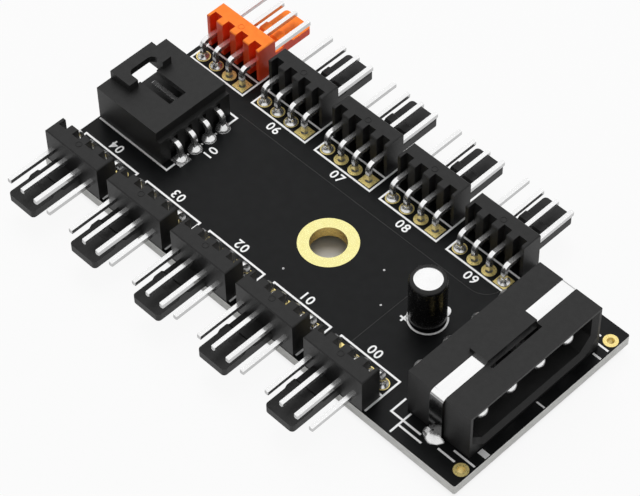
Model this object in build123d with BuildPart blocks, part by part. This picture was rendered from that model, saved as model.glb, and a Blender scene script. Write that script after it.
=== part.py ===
from build123d import *
import os
from math import sqrt

os.makedirs("parts", exist_ok=True)

# A ten-port fan hub: one circuit board that carries two rows of right-angle fan headers,
# a shrouded signal header, a power socket held down by a metal strap, and one capacitor.
# Millimetres. The origin is on the axis of the mounting hole, at the board's underside.
# +X runs along the board to the power socket, +Y to the row of ports 5 to 9, +Z up.

# Board
BOARD_WIDTH = 31.7
BOARD_THICKNESS = 1.6
BOARD_CORNER_RADIUS = 0.3
MOUNT_HOLE_RADIUS = 2.5
MOUNT_RING_WIDTH = 1.55
PLATING_THICKNESS = 0.05
PAD_RING_WIDTH = 0.5
HOLE_CLEARANCE = 0.05
CORNER_HOLE_RADIUS = 0.5
CORNER_PAD_EDGE_GAP = 0.15
CORNER_PAD_SIDE_INSET = 2.35

# Square header pins, shared by the fan headers and the signal header
PIN_PITCH = 2.54
PIN_COUNT = 4
PIN_SIZE = 0.64
PIN_RISE = 2.8
PIN_BEND_RADIUS = 0.8
PIN_TIP_CHAMFER = 0.16
TAIL_LENGTH = 1.4

# Fan headers: lengths run along the row, depths and setbacks away from the pads
HEADERS_PER_ROW = 5
HEADER_END_RELIEF = 0.16
HEADER_GAP = 1.94
FAR_ROW_INSET = 0.73
NEAR_ROW_INSET = 0.93
PAD_INSET = 4.77
FAR_SETBACK = 2.1
NEAR_SETBACK = 1.62
BLOCK_DEPTH = 3.1
BLOCK_HEIGHT = 5.8
BLOCK_EDGE_CHAMFER = 0.15
GROOVE_WIDTH = 1.35
GROOVE_DEPTH = 1.15
PIN_REACH = 7.6
TONGUE_WIDTH = 4.8
TONGUE_SHIFT = 1.15
TONGUE_LENGTH = 8.15
TONGUE_THICKNESS = 1.2
TONGUE_CORNER_RADIUS = 0.55
RIDGE_SETBACK = 3.7
RIDGE_BASE = 2.0
RIDGE_TOP = 1.2
RIDGE_HEIGHT = 0.4

# Signal header, its mouth at the board's -X edge
SIGNAL_DEPTH = 11.5
SIGNAL_SIDE = 2.4
SIGNAL_HEIGHT = 5.7
SIGNAL_WALL = 0.85
SIGNAL_BACK_WALL = 2.0
SIGNAL_EDGE_INSET = 0.1
SIGNAL_SHIFT_Y = 0.1
SIGNAL_LEDGE_DEPTH = 0.65
SIGNAL_LEDGE_HEIGHT = 4.2
SIGNAL_LEDGE_PLATE = 0.5
SIGNAL_PAD_GAP = 0.1
SIGNAL_PIN_RECESS = 2.5
LATCH_MOUTH_WIDTH = 4.4
LATCH_MOUTH_DEPTH = 3.3
LATCH_SLOT_WIDTH = 2.9
LATCH_SLOT_DEPTH = 9.0
LATCH_LEG_WIDTH = 1.5
LATCH_LEG_LENGTH = 3.8
LATCH_RISE = 1.3
LATCH_BAR_DEPTH = 1.8
LATCH_BAR_THICKNESS = 1.0
LATCH_CORNER_RADIUS = 0.9

# Power socket, its mouth towards the board's +X edge
POWER_PITCH = 5.08
POWER_PIN_COUNT = 4
POWER_SIDE = 4.0
POWER_DEPTH = 10.2
POWER_HEIGHT = 8.0
POWER_WALL = 1.0
POWER_BACK_WALL = 2.4
POWER_EDGE_INSET = 1.6
POWER_ROW_GAP = 3.9
POWER_KEY_CHAMFER = 1.8
POWER_LEAD_IN = 0.6
POWER_PIN_RADIUS = 1.05
POWER_TAIL_RADIUS = 0.75
POWER_TAIL_SETBACK = 1.9
POWER_TAIL_BEND = 1.2
POWER_PIN_RECESS = 1.2
POWER_TIP_ROUND = 1.0
STRAP_WIDTH = 2.1
STRAP_THICKNESS = 0.4
STRAP_BEND = 0.5
STRAP_SETBACK = 5.3
STRAP_CLEARANCE = 0.05
STRAP_FOOT_WIDTH = 1.0
STRAP_BLOB_RADIUS = 1.15
STRAP_BLOB_HEIGHT = 0.9
STRAP_BLOB_TAPER = 28
BRIDGE_WIDTH = 8.8
BRIDGE_REAR = 0.7
BRIDGE_FRONT = 0.1
BRIDGE_RISE = 0.6
BRIDGE_SLOT = 0.85

# Capacitor
CAN_RADIUS = 2.5
CAN_HEIGHT = 7.5
CAN_EDGE_RADIUS = 0.4
CAN_SETBACK = 8.2
CAN_SHIFT_Y = 0.4
SLEEVE_THICKNESS = 0.12
SLEEVE_LIP_FLAT = 0.1
BUNG_STANDOFF = 0.35
BUNG_DEPTH = 0.9
BUNG_MARGIN = 0.4
LEAD_RADIUS = 0.25
LEAD_SPACING = 2.0

# Solder joints under the board
SOLDER_HEIGHT = 0.9
SOLDER_WALL = 0.12
SOLDER_HOLLOW = 0.15

# Sizes that follow from the ones above
header_length = PIN_COUNT * PIN_PITCH - HEADER_END_RELIEF
header_pitch = header_length + HEADER_GAP
row_length = HEADERS_PER_ROW * header_pitch - HEADER_GAP
board_length = FAR_ROW_INSET + row_length + POWER_ROW_GAP + POWER_DEPTH + POWER_EDGE_INSET
half_length = board_length / 2
half_width = BOARD_WIDTH / 2
board_top = BOARD_THICKNESS
tail_end = -TAIL_LENGTH
tail_drop = BOARD_THICKNESS + TAIL_LENGTH

pin_offsets = [(i - (PIN_COUNT - 1) / 2) * PIN_PITCH for i in range(PIN_COUNT)]
pin_hole_radius = PIN_SIZE / sqrt(2) + HOLE_CLEARANCE
pin_pad_radius = pin_hole_radius + PAD_RING_WIDTH

signal_mouth = -half_length + SIGNAL_EDGE_INSET
signal_rear = signal_mouth + SIGNAL_DEPTH
signal_width = (PIN_COUNT - 1) * PIN_PITCH + 2 * SIGNAL_SIDE
signal_pad_x = signal_rear + SIGNAL_LEDGE_DEPTH + SIGNAL_PAD_GAP + pin_pad_radius

power_mouth = half_length - POWER_EDGE_INSET
power_rear = power_mouth - POWER_DEPTH
power_width = (POWER_PIN_COUNT - 1) * POWER_PITCH + 2 * POWER_SIDE
power_pin_rise = POWER_HEIGHT / 2
power_tail_x = power_rear - POWER_TAIL_SETBACK
power_hole_radius = POWER_TAIL_RADIUS + HOLE_CLEARANCE
power_pad_radius = power_hole_radius + PAD_RING_WIDTH
power_offsets = [(i - (POWER_PIN_COUNT - 1) / 2) * POWER_PITCH for i in range(POWER_PIN_COUNT)]

strap_x = power_mouth - STRAP_SETBACK
strap_leg_y = power_width / 2 + STRAP_THICKNESS / 2
strap_hole_radius = sqrt(STRAP_FOOT_WIDTH**2 + STRAP_THICKNESS**2) / 2 + HOLE_CLEARANCE
bridge_rear_x = strap_x - STRAP_WIDTH / 2 - BRIDGE_REAR
bridge_front_x = strap_x + STRAP_WIDTH / 2 + BRIDGE_FRONT

can_x = power_rear - CAN_SETBACK
bare_can_radius = CAN_RADIUS - SLEEVE_THICKNESS
lead_hole_radius = LEAD_RADIUS + HOLE_CLEARANCE
lead_pad_radius = lead_hole_radius + PAD_RING_WIDTH
lead_points = [(can_x, CAN_SHIFT_Y + side * LEAD_SPACING / 2) for side in (-1, 1)]

corner_pad_radius = CORNER_HOLE_RADIUS + PAD_RING_WIDTH
corner_pad_x = half_length - CORNER_PAD_EDGE_GAP - corner_pad_radius
corner_points = [(corner_pad_x, side * (half_width - CORNER_PAD_SIDE_INSET)) for side in (-1, 1)]


def write(piece, name):
    """Label a finished piece and write it as one STEP file."""
    piece.label = name
    export_step(piece, f"parts/{name}.step")


def port_plane(port):
    """Board-top plane of a fan port, centred on its pads, with local Y pointing off the board."""
    if port < HEADERS_PER_ROW:
        place = HEADERS_PER_ROW - 1 - port
        x = -half_length + NEAR_ROW_INSET + header_length / 2 + place * header_pitch
        return Plane(origin=(x, PAD_INSET - half_width, board_top), x_dir=(-1, 0, 0), z_dir=(0, 0, 1))
    place = port - HEADERS_PER_ROW
    x = -half_length + FAR_ROW_INSET + header_length / 2 + place * header_pitch
    return Plane(origin=(x, half_width - PAD_INSET, board_top), x_dir=(1, 0, 0), z_dir=(0, 0, 1))


def port_setback(port):
    """How far a port's block stands from its pads: the near row sits closer."""
    return NEAR_SETBACK if port < HEADERS_PER_ROW else FAR_SETBACK


def side_plane(place, along):
    """Upright plane across a port, at a distance along its row: local X leads away from the pads."""
    origin = place.from_local_coords(Vector(along, 0, 0))
    return Plane(origin=origin, x_dir=place.y_dir, z_dir=place.x_dir)


def pin_points(place):
    """Where a port's pins pass through the board, the square-pad pin last."""
    return [place.from_local_coords(Vector(u, 0, 0)) for u in pin_offsets]


ports = list(range(2 * HEADERS_PER_ROW))
near_ports = ports[:HEADERS_PER_ROW]
far_ports = ports[HEADERS_PER_ROW:]
signal_place = Plane(
    origin=(signal_pad_x, SIGNAL_SHIFT_Y, board_top), x_dir=(0, 1, 0), z_dir=(0, 0, 1)
)
fan_points = [point for port in ports for point in pin_points(port_plane(port))]
signal_points = pin_points(signal_place)
power_points = [(power_tail_x, y) for y in power_offsets]
strap_points = [(strap_x, side * strap_leg_y) for side in (-1, 1)]


def flat(points):
    """The X and Y of each point, for placing in a sketch on the board."""
    return [(point.X, point.Y) for point in points]


# The board: one laminate with a drilled hole for every lead
with BuildPart() as circuit_board:
    with BuildSketch():
        RectangleRounded(board_length, BOARD_WIDTH, BOARD_CORNER_RADIUS)
        Circle(MOUNT_HOLE_RADIUS + PLATING_THICKNESS, mode=Mode.SUBTRACT)
        with Locations(*flat(fan_points), *flat(signal_points)):
            Circle(pin_hole_radius, mode=Mode.SUBTRACT)
        with Locations(*power_points):
            Circle(power_hole_radius, mode=Mode.SUBTRACT)
        with Locations(*strap_points):
            Circle(strap_hole_radius, mode=Mode.SUBTRACT)
        with Locations(*lead_points):
            Circle(lead_hole_radius, mode=Mode.SUBTRACT)
        with Locations(*corner_points):
            Circle(CORNER_HOLE_RADIUS + PLATING_THICKNESS, mode=Mode.SUBTRACT)
    extrude(amount=BOARD_THICKNESS)
write(circuit_board.part, "circuit_board")


def plated_hole(points, radius, ring_width):
    """Gold-plated holes: a thin barrel with a ring on each face of the board."""
    with BuildPart() as plating:
        with BuildSketch(Plane.XY.offset(-PLATING_THICKNESS)):
            with Locations(*points):
                Circle(radius + ring_width)
        extrude(amount=PLATING_THICKNESS)
        with BuildSketch(Plane.XY.offset(board_top)):
            with Locations(*points):
                Circle(radius + ring_width)
        extrude(amount=PLATING_THICKNESS)
        with BuildSketch():
            with Locations(*points):
                Circle(radius + PLATING_THICKNESS)
        extrude(amount=BOARD_THICKNESS)
        with BuildSketch(Plane.XY.offset(-PLATING_THICKNESS)):
            with Locations(*points):
                Circle(radius)
        extrude(amount=BOARD_THICKNESS + 2 * PLATING_THICKNESS, mode=Mode.SUBTRACT)
    return plating.part


write(plated_hole([(0, 0)], MOUNT_HOLE_RADIUS, MOUNT_RING_WIDTH), "mounting_hole_plating")
write(plated_hole(corner_points, CORNER_HOLE_RADIUS, PAD_RING_WIDTH), "corner_pads")


def top_pads(places):
    """Gold pads on the board's top face, round but for a square one at pin 1."""
    with BuildPart() as pads:
        for place in places:
            *round_points, square_point = flat(pin_points(place))
            with BuildSketch(Plane.XY.offset(board_top)):
                with Locations(*round_points):
                    Circle(pin_pad_radius)
                with Locations(square_point):
                    Rectangle(2 * pin_pad_radius, 2 * pin_pad_radius)
                with Locations(*round_points, square_point):
                    Circle(pin_hole_radius, mode=Mode.SUBTRACT)
            extrude(amount=PLATING_THICKNESS)
    return pads.part


write(top_pads([port_plane(port) for port in near_ports]), "near_row_pads")
write(top_pads([port_plane(port) for port in far_ports]), "far_row_pads")
write(top_pads([signal_place.rotated((0, 0, 180))]), "signal_pads")

with BuildPart() as power_pads:
    with BuildSketch(Plane.XY.offset(board_top)):
        with Locations(*power_points):
            Circle(power_pad_radius)
            Circle(power_hole_radius, mode=Mode.SUBTRACT)
    extrude(amount=PLATING_THICKNESS)
write(power_pads.part, "power_pads")


def solder_joints(points, pad_radius, hole):
    """Solder fillets under the board, each with the lead's own section left open through it."""
    tip_radius = hole.bounding_box().diagonal / 2 + SOLDER_WALL
    with BuildPart() as joint:
        with BuildSketch(Plane.XZ):
            with BuildLine():
                Line((0, 0), (pad_radius, 0))
                curve = SagittaArc((pad_radius, 0), (tip_radius, -SOLDER_HEIGHT), -SOLDER_HOLLOW)
                Polyline(curve @ 1, (0, -SOLDER_HEIGHT), (0, 0))
            make_face()
        revolve(axis=Axis.Z)
        add(hole)
        extrude(amount=-SOLDER_HEIGHT, mode=Mode.SUBTRACT)
    with BuildPart() as joints:
        with Locations(*points):
            add(joint.part)
    return joints.part


square_lead = Rectangle(PIN_SIZE, PIN_SIZE)
power_lead = Circle(POWER_TAIL_RADIUS)
strap_lead = Rectangle(STRAP_FOOT_WIDTH, STRAP_THICKNESS)
thin_lead = Circle(LEAD_RADIUS)
near_points = [point for port in near_ports for point in pin_points(port_plane(port))]
far_points = [point for port in far_ports for point in pin_points(port_plane(port))]

write(solder_joints(flat(near_points), pin_pad_radius, square_lead), "near_row_solder")
write(solder_joints(flat(far_points), pin_pad_radius, square_lead), "far_row_solder")
write(solder_joints(flat(signal_points), pin_pad_radius, square_lead), "signal_solder")
write(solder_joints(power_points, power_pad_radius, power_lead), "power_solder")
write(solder_joints(strap_points, strap_hole_radius + PAD_RING_WIDTH, strap_lead), "strap_solder_under")
write(solder_joints(lead_points, lead_pad_radius, thin_lead), "capacitor_solder")


def fan_housing(place, setback):
    """A friction-lock header body: a grooved block with a ridged tongue under the pins."""
    block_front = setback + BLOCK_DEPTH
    front = place.from_local_coords(Vector(0, block_front, 0))
    with BuildPart() as housing:
        with BuildSketch(place):
            with Locations((0, setback)):
                Rectangle(header_length, BLOCK_DEPTH, align=(Align.CENTER, Align.MIN))
        extrude(amount=BLOCK_HEIGHT)
        top_face = housing.faces().sort_by(Axis.Z)[-1]
        chamfer(top_face.edges(), BLOCK_EDGE_CHAMFER)
        with BuildSketch(place):
            with Locations(*[(u, setback) for u in pin_offsets]):
                Rectangle(GROOVE_WIDTH, GROOVE_DEPTH, align=(Align.CENTER, Align.MIN))
        extrude(amount=BLOCK_HEIGHT, mode=Mode.SUBTRACT)
        with BuildSketch(place) as tongue:
            with Locations((TONGUE_SHIFT, block_front)):
                Rectangle(TONGUE_WIDTH, TONGUE_LENGTH, align=(Align.CENTER, Align.MIN))
            fillet(tongue.vertices().group_by(Axis.Y)[-1], TONGUE_CORNER_RADIUS)
        extrude(amount=TONGUE_THICKNESS)
        with BuildSketch(side_plane(place, TONGUE_SHIFT)):
            with BuildLine():
                ridge_middle = block_front + RIDGE_SETBACK
                Polyline(
                    (ridge_middle - RIDGE_BASE / 2, TONGUE_THICKNESS),
                    (ridge_middle - RIDGE_TOP / 2, TONGUE_THICKNESS + RIDGE_HEIGHT),
                    (ridge_middle + RIDGE_TOP / 2, TONGUE_THICKNESS + RIDGE_HEIGHT),
                    (ridge_middle + RIDGE_BASE / 2, TONGUE_THICKNESS),
                    close=True,
                )
            make_face()
        extrude(amount=TONGUE_WIDTH / 2, both=True)
        with BuildSketch(Plane(origin=front, x_dir=place.x_dir, z_dir=-place.y_dir)):
            with Locations(*[(u, PIN_RISE) for u in pin_offsets]):
                Rectangle(PIN_SIZE, PIN_SIZE)
        extrude(amount=BLOCK_DEPTH, mode=Mode.SUBTRACT)
    return housing.part


def bent_pins(place, tip):
    """Four square pins: straight out at the pin height, and bent down through the board."""
    with BuildPart() as pins:
        for u in pin_offsets:
            with BuildSketch(side_plane(place, u)):
                with BuildLine():
                    FilletPolyline(
                        (tip, PIN_RISE), (0, PIN_RISE), (0, -tail_drop), radius=PIN_BEND_RADIUS
                    )
                trace(line_width=PIN_SIZE)
            extrude(amount=PIN_SIZE / 2, both=True)
        tips = pins.faces().group_by(Axis(place.origin, place.y_dir))[-1]
        tails = pins.faces().group_by(Axis.Z)[0]
        chamfer(tips.edges() + tails.edges(), PIN_TIP_CHAMFER)
    return pins.part


for port in ports:
    pin_tip = port_setback(port) + BLOCK_DEPTH + PIN_REACH
    write(fan_housing(port_plane(port), port_setback(port)), f"fan_housing_{port}")
    write(bent_pins(port_plane(port), pin_tip), f"fan_pins_{port}")

# The signal header: local X of its plane runs along +Y, local Y along -X towards the mouth
signal_cavity_depth = SIGNAL_DEPTH - SIGNAL_BACK_WALL
signal_mouth_plane = Plane(
    origin=(signal_mouth, SIGNAL_SHIFT_Y, board_top), x_dir=(0, -1, 0), z_dir=(-1, 0, 0)
)
signal_roof = board_top + SIGNAL_HEIGHT
latch_leg_middle = (LATCH_MOUTH_WIDTH + LATCH_LEG_WIDTH) / 2


def from_signal_mouth(height):
    """Level plane with its origin at the middle of the signal header's mouth."""
    return Plane(origin=(signal_mouth, SIGNAL_SHIFT_Y, height))


with BuildPart() as signal_housing:
    with BuildSketch(from_signal_mouth(board_top)):
        Rectangle(SIGNAL_DEPTH, signal_width, align=(Align.MIN, Align.CENTER))
    extrude(amount=SIGNAL_HEIGHT)
    with BuildSketch(from_signal_mouth(board_top)):
        with Locations((SIGNAL_DEPTH, 0)):
            Rectangle(SIGNAL_LEDGE_DEPTH, signal_width, align=(Align.MIN, Align.CENTER))
    extrude(amount=SIGNAL_LEDGE_HEIGHT)
    with BuildSketch(from_signal_mouth(board_top)):
        with Locations(*[(SIGNAL_DEPTH, y) for y in pin_offsets]):
            Rectangle(SIGNAL_LEDGE_DEPTH, GROOVE_WIDTH, align=(Align.MIN, Align.CENTER))
    extrude(amount=SIGNAL_LEDGE_HEIGHT - SIGNAL_LEDGE_PLATE, mode=Mode.SUBTRACT)
    with BuildSketch(signal_mouth_plane):
        with Locations((0, SIGNAL_WALL)):
            Rectangle(
                signal_width - 2 * SIGNAL_WALL,
                SIGNAL_HEIGHT - 2 * SIGNAL_WALL,
                align=(Align.CENTER, Align.MIN),
            )
    extrude(amount=-signal_cavity_depth, mode=Mode.SUBTRACT)
    with BuildSketch(signal_mouth_plane):
        with Locations(*[(y, PIN_RISE) for y in pin_offsets]):
            Rectangle(PIN_SIZE, PIN_SIZE)
    extrude(amount=-(SIGNAL_DEPTH + SIGNAL_LEDGE_DEPTH), mode=Mode.SUBTRACT)
    with BuildSketch(from_signal_mouth(signal_roof)):
        Rectangle(LATCH_MOUTH_DEPTH, LATCH_MOUTH_WIDTH, align=(Align.MIN, Align.CENTER))
        Rectangle(LATCH_SLOT_DEPTH, LATCH_SLOT_WIDTH, align=(Align.MIN, Align.CENTER))
    extrude(amount=-SIGNAL_WALL, mode=Mode.SUBTRACT)
    with BuildSketch(from_signal_mouth(signal_roof)):
        with Locations((0, -latch_leg_middle), (0, latch_leg_middle)):
            Rectangle(LATCH_LEG_LENGTH, LATCH_LEG_WIDTH, align=(Align.MIN, Align.CENTER))
    extrude(amount=LATCH_RISE)
    with BuildSketch(from_signal_mouth(signal_roof + LATCH_RISE)) as latch:
        Rectangle(
            LATCH_LEG_LENGTH,
            LATCH_MOUTH_WIDTH + 2 * LATCH_LEG_WIDTH,
            align=(Align.MIN, Align.CENTER),
        )
        with Locations((LATCH_BAR_DEPTH, 0)):
            Rectangle(
                LATCH_LEG_LENGTH - LATCH_BAR_DEPTH,
                LATCH_MOUTH_WIDTH,
                align=(Align.MIN, Align.CENTER),
                mode=Mode.SUBTRACT,
            )
        fillet(latch.vertices().group_by(Axis.X)[1], LATCH_CORNER_RADIUS)
    extrude(amount=-LATCH_BAR_THICKNESS)
write(signal_housing.part, "signal_housing")
write(bent_pins(signal_place, signal_pad_x - signal_mouth - SIGNAL_PIN_RECESS), "signal_pins")

# The power socket: a shroud around four round pins, with a groove for the strap across its roof
power_mouth_plane = Plane(origin=(power_mouth, 0, board_top), x_dir=(0, 1, 0), z_dir=(1, 0, 0))
power_roof = board_top + POWER_HEIGHT
power_cavity_depth = POWER_DEPTH - POWER_BACK_WALL
groove_level = power_roof - STRAP_THICKNESS

with BuildPart() as power_housing:
    with BuildSketch(Plane(origin=(power_rear, 0, board_top))):
        Rectangle(POWER_DEPTH, power_width, align=(Align.MIN, Align.CENTER))
    extrude(amount=POWER_HEIGHT)
    with BuildSketch(power_mouth_plane) as cavity:
        with Locations((0, POWER_WALL)):
            Rectangle(
                power_width - 2 * POWER_WALL,
                POWER_HEIGHT - 2 * POWER_WALL,
                align=(Align.CENTER, Align.MIN),
            )
        chamfer(cavity.vertices().group_by(Axis.Y)[0], POWER_KEY_CHAMFER)
    extrude(amount=-power_cavity_depth, mode=Mode.SUBTRACT)
    mouth_face = power_housing.faces().sort_by(Axis.X)[-1]
    chamfer(mouth_face.inner_wires()[0].edges(), POWER_LEAD_IN)
    with BuildSketch(power_mouth_plane):
        with Locations(*[(y, power_pin_rise) for y in power_offsets]):
            Circle(POWER_TAIL_RADIUS)
    extrude(amount=-POWER_DEPTH, mode=Mode.SUBTRACT)
    with BuildSketch(Plane(origin=(strap_x, 0, power_roof))):
        Rectangle(STRAP_WIDTH + 2 * STRAP_CLEARANCE, power_width)
    extrude(amount=-STRAP_THICKNESS, mode=Mode.SUBTRACT)
    level_faces = power_housing.faces().filter_by(Axis.Z)
    groove_floor = level_faces.sort_by(lambda face: abs(face.center().Z - groove_level))[0]
    fillet(groove_floor.edges().filter_by(Axis.X), STRAP_BEND)
    with BuildSketch(Plane(origin=(bridge_rear_x, 0, power_roof))):
        Rectangle(bridge_front_x - bridge_rear_x, BRIDGE_WIDTH, align=(Align.MIN, Align.CENTER))
    extrude(amount=BRIDGE_RISE)
    with BuildSketch(Plane(origin=(bridge_front_x, 0, power_roof))):
        Rectangle(BRIDGE_SLOT, BRIDGE_WIDTH, align=(Align.MIN, Align.CENTER))
    extrude(amount=-POWER_WALL, mode=Mode.SUBTRACT)
write(power_housing.part, "power_housing")

power_shoulder = power_rear + POWER_BACK_WALL
power_pin_z = board_top + power_pin_rise
with BuildPart() as power_pins:
    for y in power_offsets:
        with BuildSketch(Plane(origin=(power_shoulder, y, power_pin_z), z_dir=(1, 0, 0))):
            Circle(POWER_PIN_RADIUS)
        extrude(amount=power_cavity_depth - POWER_PIN_RECESS)
    fillet(power_pins.faces().group_by(Axis.X)[-1].edges(), POWER_TIP_ROUND)
    for y in power_offsets:
        with BuildLine() as tail_path:
            FilletPolyline(
                (power_shoulder, y, power_pin_z),
                (power_tail_x, y, power_pin_z),
                (power_tail_x, y, tail_end),
                radius=POWER_TAIL_BEND,
            )
        with BuildSketch(Plane(origin=tail_path.line @ 0, z_dir=tail_path.line % 0)):
            Circle(POWER_TAIL_RADIUS)
        sweep(path=tail_path.line)
write(power_pins.part, "power_pins")

# The strap: one tinned strip over the socket, folded down each side and into the board
strap_across = Plane(origin=(strap_x, 0, 0), x_dir=(0, 1, 0), z_dir=(1, 0, 0))
strap_level = power_roof - STRAP_THICKNESS / 2
with BuildPart() as power_strap:
    with BuildSketch(strap_across):
        with BuildLine():
            FilletPolyline(
                (-strap_leg_y, board_top),
                (-strap_leg_y, strap_level),
                (strap_leg_y, strap_level),
                (strap_leg_y, board_top),
                radius=STRAP_THICKNESS / 2 + STRAP_BEND,
            )
        trace(line_width=STRAP_THICKNESS)
    extrude(amount=STRAP_WIDTH / 2, both=True)
    with BuildSketch(Plane.XY.offset(board_top)):
        with Locations(*strap_points):
            Rectangle(STRAP_FOOT_WIDTH, STRAP_THICKNESS)
    extrude(amount=-tail_drop)
write(power_strap.part, "power_strap")

# A solder mound on the board against the outside of each strap leg
blob_start_y = strap_leg_y + STRAP_THICKNESS / 2
with BuildPart() as strap_mounds:
    for side in (-1, 1):
        foot = (strap_x, side * blob_start_y, board_top)
        with BuildSketch(Plane(origin=foot, x_dir=(side, 0, 0), z_dir=(0, 0, 1))):
            Circle(STRAP_BLOB_RADIUS)
            Rectangle(
                2 * STRAP_BLOB_RADIUS,
                STRAP_BLOB_RADIUS,
                align=(Align.CENTER, Align.MAX),
                mode=Mode.SUBTRACT,
            )
        extrude(amount=STRAP_BLOB_HEIGHT, taper=STRAP_BLOB_TAPER)
write(strap_mounds.part, "strap_solder")

# The capacitor stands on its rubber bung, with a shrunk sleeve around the can
can_axis = Axis((can_x, CAN_SHIFT_Y, 0), (0, 0, 1))
can_section = Plane(origin=(can_x, CAN_SHIFT_Y, board_top), x_dir=(1, 0, 0), z_dir=(0, -1, 0))
bung_radius = bare_can_radius - BUNG_MARGIN
can_top = CAN_HEIGHT - SLEEVE_THICKNESS
lip_start = bare_can_radius - CAN_EDGE_RADIUS - SLEEVE_LIP_FLAT

with BuildPart() as capacitor_can:
    with BuildSketch(can_section) as can_outline:
        with BuildLine():
            Polyline(
                (0, BUNG_STANDOFF + BUNG_DEPTH),
                (bung_radius, BUNG_STANDOFF + BUNG_DEPTH),
                (bung_radius, BUNG_STANDOFF),
                (bare_can_radius, BUNG_STANDOFF),
                (bare_can_radius, can_top),
                (0, can_top),
                close=True,
            )
        make_face()
        fillet(can_outline.vertices().group_by(Axis.X)[-1].sort_by(Axis.Y)[-1], CAN_EDGE_RADIUS)
    revolve(axis=can_axis)
write(capacitor_can.part, "capacitor_can")

with BuildPart() as capacitor_sleeve:
    with BuildSketch(can_section) as sleeve_outline:
        with BuildLine():
            Polyline(
                (bare_can_radius, BUNG_STANDOFF),
                (CAN_RADIUS, BUNG_STANDOFF),
                (CAN_RADIUS, CAN_HEIGHT),
                (lip_start, CAN_HEIGHT),
                (lip_start, can_top),
                (bare_can_radius, can_top),
                close=True,
            )
        make_face()
        outside = sleeve_outline.vertices().sort_by_distance((CAN_RADIUS, CAN_HEIGHT))[0]
        fillet(outside, CAN_EDGE_RADIUS + SLEEVE_THICKNESS)
        inside = sleeve_outline.vertices().sort_by_distance((bare_can_radius, can_top))[0]
        fillet(inside, CAN_EDGE_RADIUS)
    revolve(axis=can_axis)
write(capacitor_sleeve.part, "capacitor_sleeve")

with BuildPart() as capacitor_bung:
    with BuildSketch(Plane.XY.offset(board_top)):
        with Locations((can_x, CAN_SHIFT_Y)):
            Circle(bung_radius)
        with Locations(*lead_points):
            Circle(LEAD_RADIUS, mode=Mode.SUBTRACT)
    extrude(amount=BUNG_STANDOFF + BUNG_DEPTH)
write(capacitor_bung.part, "capacitor_bung")

with BuildPart() as capacitor_leads:
    with BuildSketch(Plane.XY.offset(tail_end)):
        with Locations(*lead_points):
            Circle(LEAD_RADIUS)
    extrude(amount=tail_drop + BUNG_STANDOFF + BUNG_DEPTH)
write(capacitor_leads.part, "capacitor_leads")

print("board", round(board_length, 2), "x", BOARD_WIDTH, "header pitch", round(header_pitch, 3))
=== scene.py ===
# %% [markdown]
# # A ten-port fan hub
#
# This notebook dresses a small circuit board that feeds ten computer fans from one power socket.
# Its solids were drawn in CAD, and they set every size and place here. Blender adds what CAD
# leaves out: softened edges, printed marks, solder that has flowed, and the look of each material.
#
# The frame is loaded first. It holds every CAD solid as an object, already standing where it
# belongs, in metres. The box round all of them is kept, and the paper is later laid at its lowest
# point.

# %% Load the frame
import math

import bmesh
import bpy
from mathutils import Matrix, Vector, noise


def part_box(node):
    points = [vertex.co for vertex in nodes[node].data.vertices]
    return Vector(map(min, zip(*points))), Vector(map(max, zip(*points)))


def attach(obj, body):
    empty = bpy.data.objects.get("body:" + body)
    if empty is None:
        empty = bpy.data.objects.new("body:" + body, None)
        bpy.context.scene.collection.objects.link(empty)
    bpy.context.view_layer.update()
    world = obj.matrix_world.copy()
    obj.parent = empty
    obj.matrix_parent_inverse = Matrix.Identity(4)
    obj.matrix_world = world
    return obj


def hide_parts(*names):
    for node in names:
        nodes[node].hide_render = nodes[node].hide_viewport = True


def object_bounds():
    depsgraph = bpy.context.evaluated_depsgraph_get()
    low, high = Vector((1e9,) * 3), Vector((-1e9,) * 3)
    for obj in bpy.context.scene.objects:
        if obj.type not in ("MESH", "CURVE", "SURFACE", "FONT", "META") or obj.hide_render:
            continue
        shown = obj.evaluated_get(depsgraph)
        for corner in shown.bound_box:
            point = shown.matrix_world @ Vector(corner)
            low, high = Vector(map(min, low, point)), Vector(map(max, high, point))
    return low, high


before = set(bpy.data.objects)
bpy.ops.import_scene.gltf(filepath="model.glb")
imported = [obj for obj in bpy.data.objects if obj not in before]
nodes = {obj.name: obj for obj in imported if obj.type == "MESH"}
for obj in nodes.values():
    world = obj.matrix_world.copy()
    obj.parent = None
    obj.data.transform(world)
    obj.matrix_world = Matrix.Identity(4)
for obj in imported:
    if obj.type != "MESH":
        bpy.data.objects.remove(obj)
cad_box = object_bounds()
MM = 0.001
print("CAD solids:", len(nodes))
print("size in mm:", [round(side / MM, 2) for side in cad_box[1] - cad_box[0]])

# %% [markdown]
# ## The camera
#
# The photograph was taken from above one corner with a long lens, so parallel edges stay nearly
# parallel. A camera can be placed by hand until the picture fits, but it is easier to check when it
# is built from a few readable numbers: a point to look at, two angles round it, a small roll and a
# distance. Each angle is one rotation, and the distance is a step back along the camera's own axis.

# %% Place the camera
VIEW_TARGET = Vector((-2.70, 1.07, -2.78)) * MM
VIEW_AZIMUTH = math.radians(46.18)
VIEW_ELEVATION = math.radians(51.11)
VIEW_ROLL = math.radians(-1.21)
VIEW_DISTANCE = 333.6 * MM
LENS = 144.6
SENSOR = 36.0
NEAREST_SEEN = 5 * MM

camera_data = bpy.data.cameras.new("camera")
camera_data.lens = LENS
camera_data.sensor_width = SENSOR
camera_data.clip_start = NEAREST_SEEN
camera = bpy.data.objects.new("camera", camera_data)
bpy.context.scene.collection.objects.link(camera)
bpy.context.scene.camera = camera

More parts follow.
